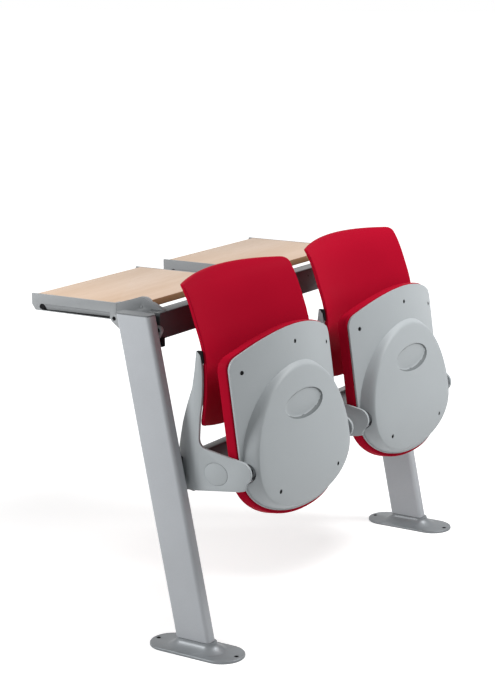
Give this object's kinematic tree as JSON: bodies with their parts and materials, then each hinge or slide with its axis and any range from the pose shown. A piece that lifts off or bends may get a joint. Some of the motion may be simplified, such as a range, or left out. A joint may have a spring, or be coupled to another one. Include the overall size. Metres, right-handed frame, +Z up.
{
  "type": "lecture hall beam seating unit",
  "caption": "Beam-mounted lecture seating with red tip-up seats, curved backs, leaning silver legs and fold-up wooden writing tops for the row behind.",
  "frame": {"origin": "on the floor under the middle of the unit's box", "axes": "+X along the row, +Y to the row behind, +Z up"},
  "size_m": [1.118, 0.622, 0.8195],
  "materials": {
    "silver_paint": "silver powder coat on aluminium profiles and castings",
    "grey_paint": "grey powder coat on aluminium castings",
    "charcoal_paint": "charcoal powder coat on steel",
    "grey_plastic": "fine-grained moulded plastic",
    "red_plastic": "satin moulded plastic",
    "beech_veneer": "clear satin lacquer",
    "bright_steel": "bright zinc",
    "black_plastic": "plain moulded plastic"
  },
  "bodies": {
    "frame": {"left_foot": "silver_paint", "left_leg": "silver_paint", "left_leg_cap": "silver_paint", "left_beam_bracket": "silver_paint", "left_front_bolt": "charcoal_paint", "left_rear_bolt": "charcoal_paint", "left_end_block": "black_plastic", "right_foot": "silver_paint", "right_leg": "silver_paint", "right_leg_cap": "silver_paint", "right_beam_bracket": "silver_paint", "right_front_bolt": "charcoal_paint", "right_rear_bolt": "charcoal_paint", "right_end_block": "black_plastic", "upper_beam": "charcoal_paint", "lower_beam": "charcoal_paint", "desk_1_left_hinge": "grey_paint", "desk_1_left_hinge_pin": "bright_steel", "desk_1_right_hinge": "grey_paint", "desk_1_right_hinge_pin": "bright_steel", "chair_1_back": "red_plastic", "chair_1_left_arm": "grey_plastic", "chair_1_left_arm_cap": "grey_plastic", "chair_1_left_clamp": "charcoal_paint", "chair_1_left_axle": "bright_steel", "chair_1_right_arm": "grey_plastic", "chair_1_right_arm_cap": "grey_plastic", "chair_1_right_clamp": "charcoal_paint", "chair_1_right_axle": "bright_steel", "desk_2_left_hinge": "grey_paint", "desk_2_left_hinge_pin": "bright_steel", "desk_2_right_hinge": "grey_paint", "desk_2_right_hinge_pin": "bright_steel", "chair_2_back": "red_plastic", "chair_2_left_arm": "grey_plastic", "chair_2_left_arm_cap": "grey_plastic", "chair_2_left_clamp": "charcoal_paint", "chair_2_left_axle": "bright_steel", "chair_2_right_arm": "grey_plastic", "chair_2_right_arm_cap": "grey_plastic", "chair_2_right_clamp": "charcoal_paint", "chair_2_right_axle": "bright_steel"},
    "desk_1": {"desk_1_left_arm": "grey_paint", "desk_1_right_arm": "grey_paint", "desk_1_top": "beech_veneer"},
    "seat_1": {"chair_1_seat_shell": "grey_plastic", "chair_1_seat_top": "red_plastic", "chair_1_spring": "bright_steel", "chair_1_left_hinge_block": "grey_plastic", "chair_1_right_hinge_block": "grey_plastic"},
    "desk_2": {"desk_2_left_arm": "grey_paint", "desk_2_right_arm": "grey_paint", "desk_2_top": "beech_veneer"},
    "seat_2": {"chair_2_seat_shell": "grey_plastic", "chair_2_seat_top": "red_plastic", "chair_2_spring": "bright_steel", "chair_2_left_hinge_block": "grey_plastic", "chair_2_right_hinge_block": "grey_plastic"}
  },
  "joints": [
    {"name": "seat_1_tip", "type": "hinge", "parent": "frame", "child": "seat_1", "pos_m": [-0.26, -0.26816, 0.41], "axis": [1, 0, 0], "range_deg": [0, 94], "stiffness_Nm_per_rad": 1.6, "springref_deg": -57.3},
    {"name": "desk_1_fold", "type": "hinge", "parent": "frame", "child": "desk_1", "pos_m": [-0.26, 0.00198, 0.748], "axis": [1, 0, 0], "range_deg": [0, 88]},
    {"name": "seat_2_tip", "type": "hinge", "parent": "frame", "child": "seat_2", "pos_m": [0.26, -0.26816, 0.41], "axis": [1, 0, 0], "range_deg": [0, 94], "stiffness_Nm_per_rad": 1.6, "springref_deg": -57.3},
    {"name": "desk_2_fold", "type": "hinge", "parent": "frame", "child": "desk_2", "pos_m": [0.26, 0.00198, 0.748], "axis": [1, 0, 0], "range_deg": [0, 88]}
  ]
}
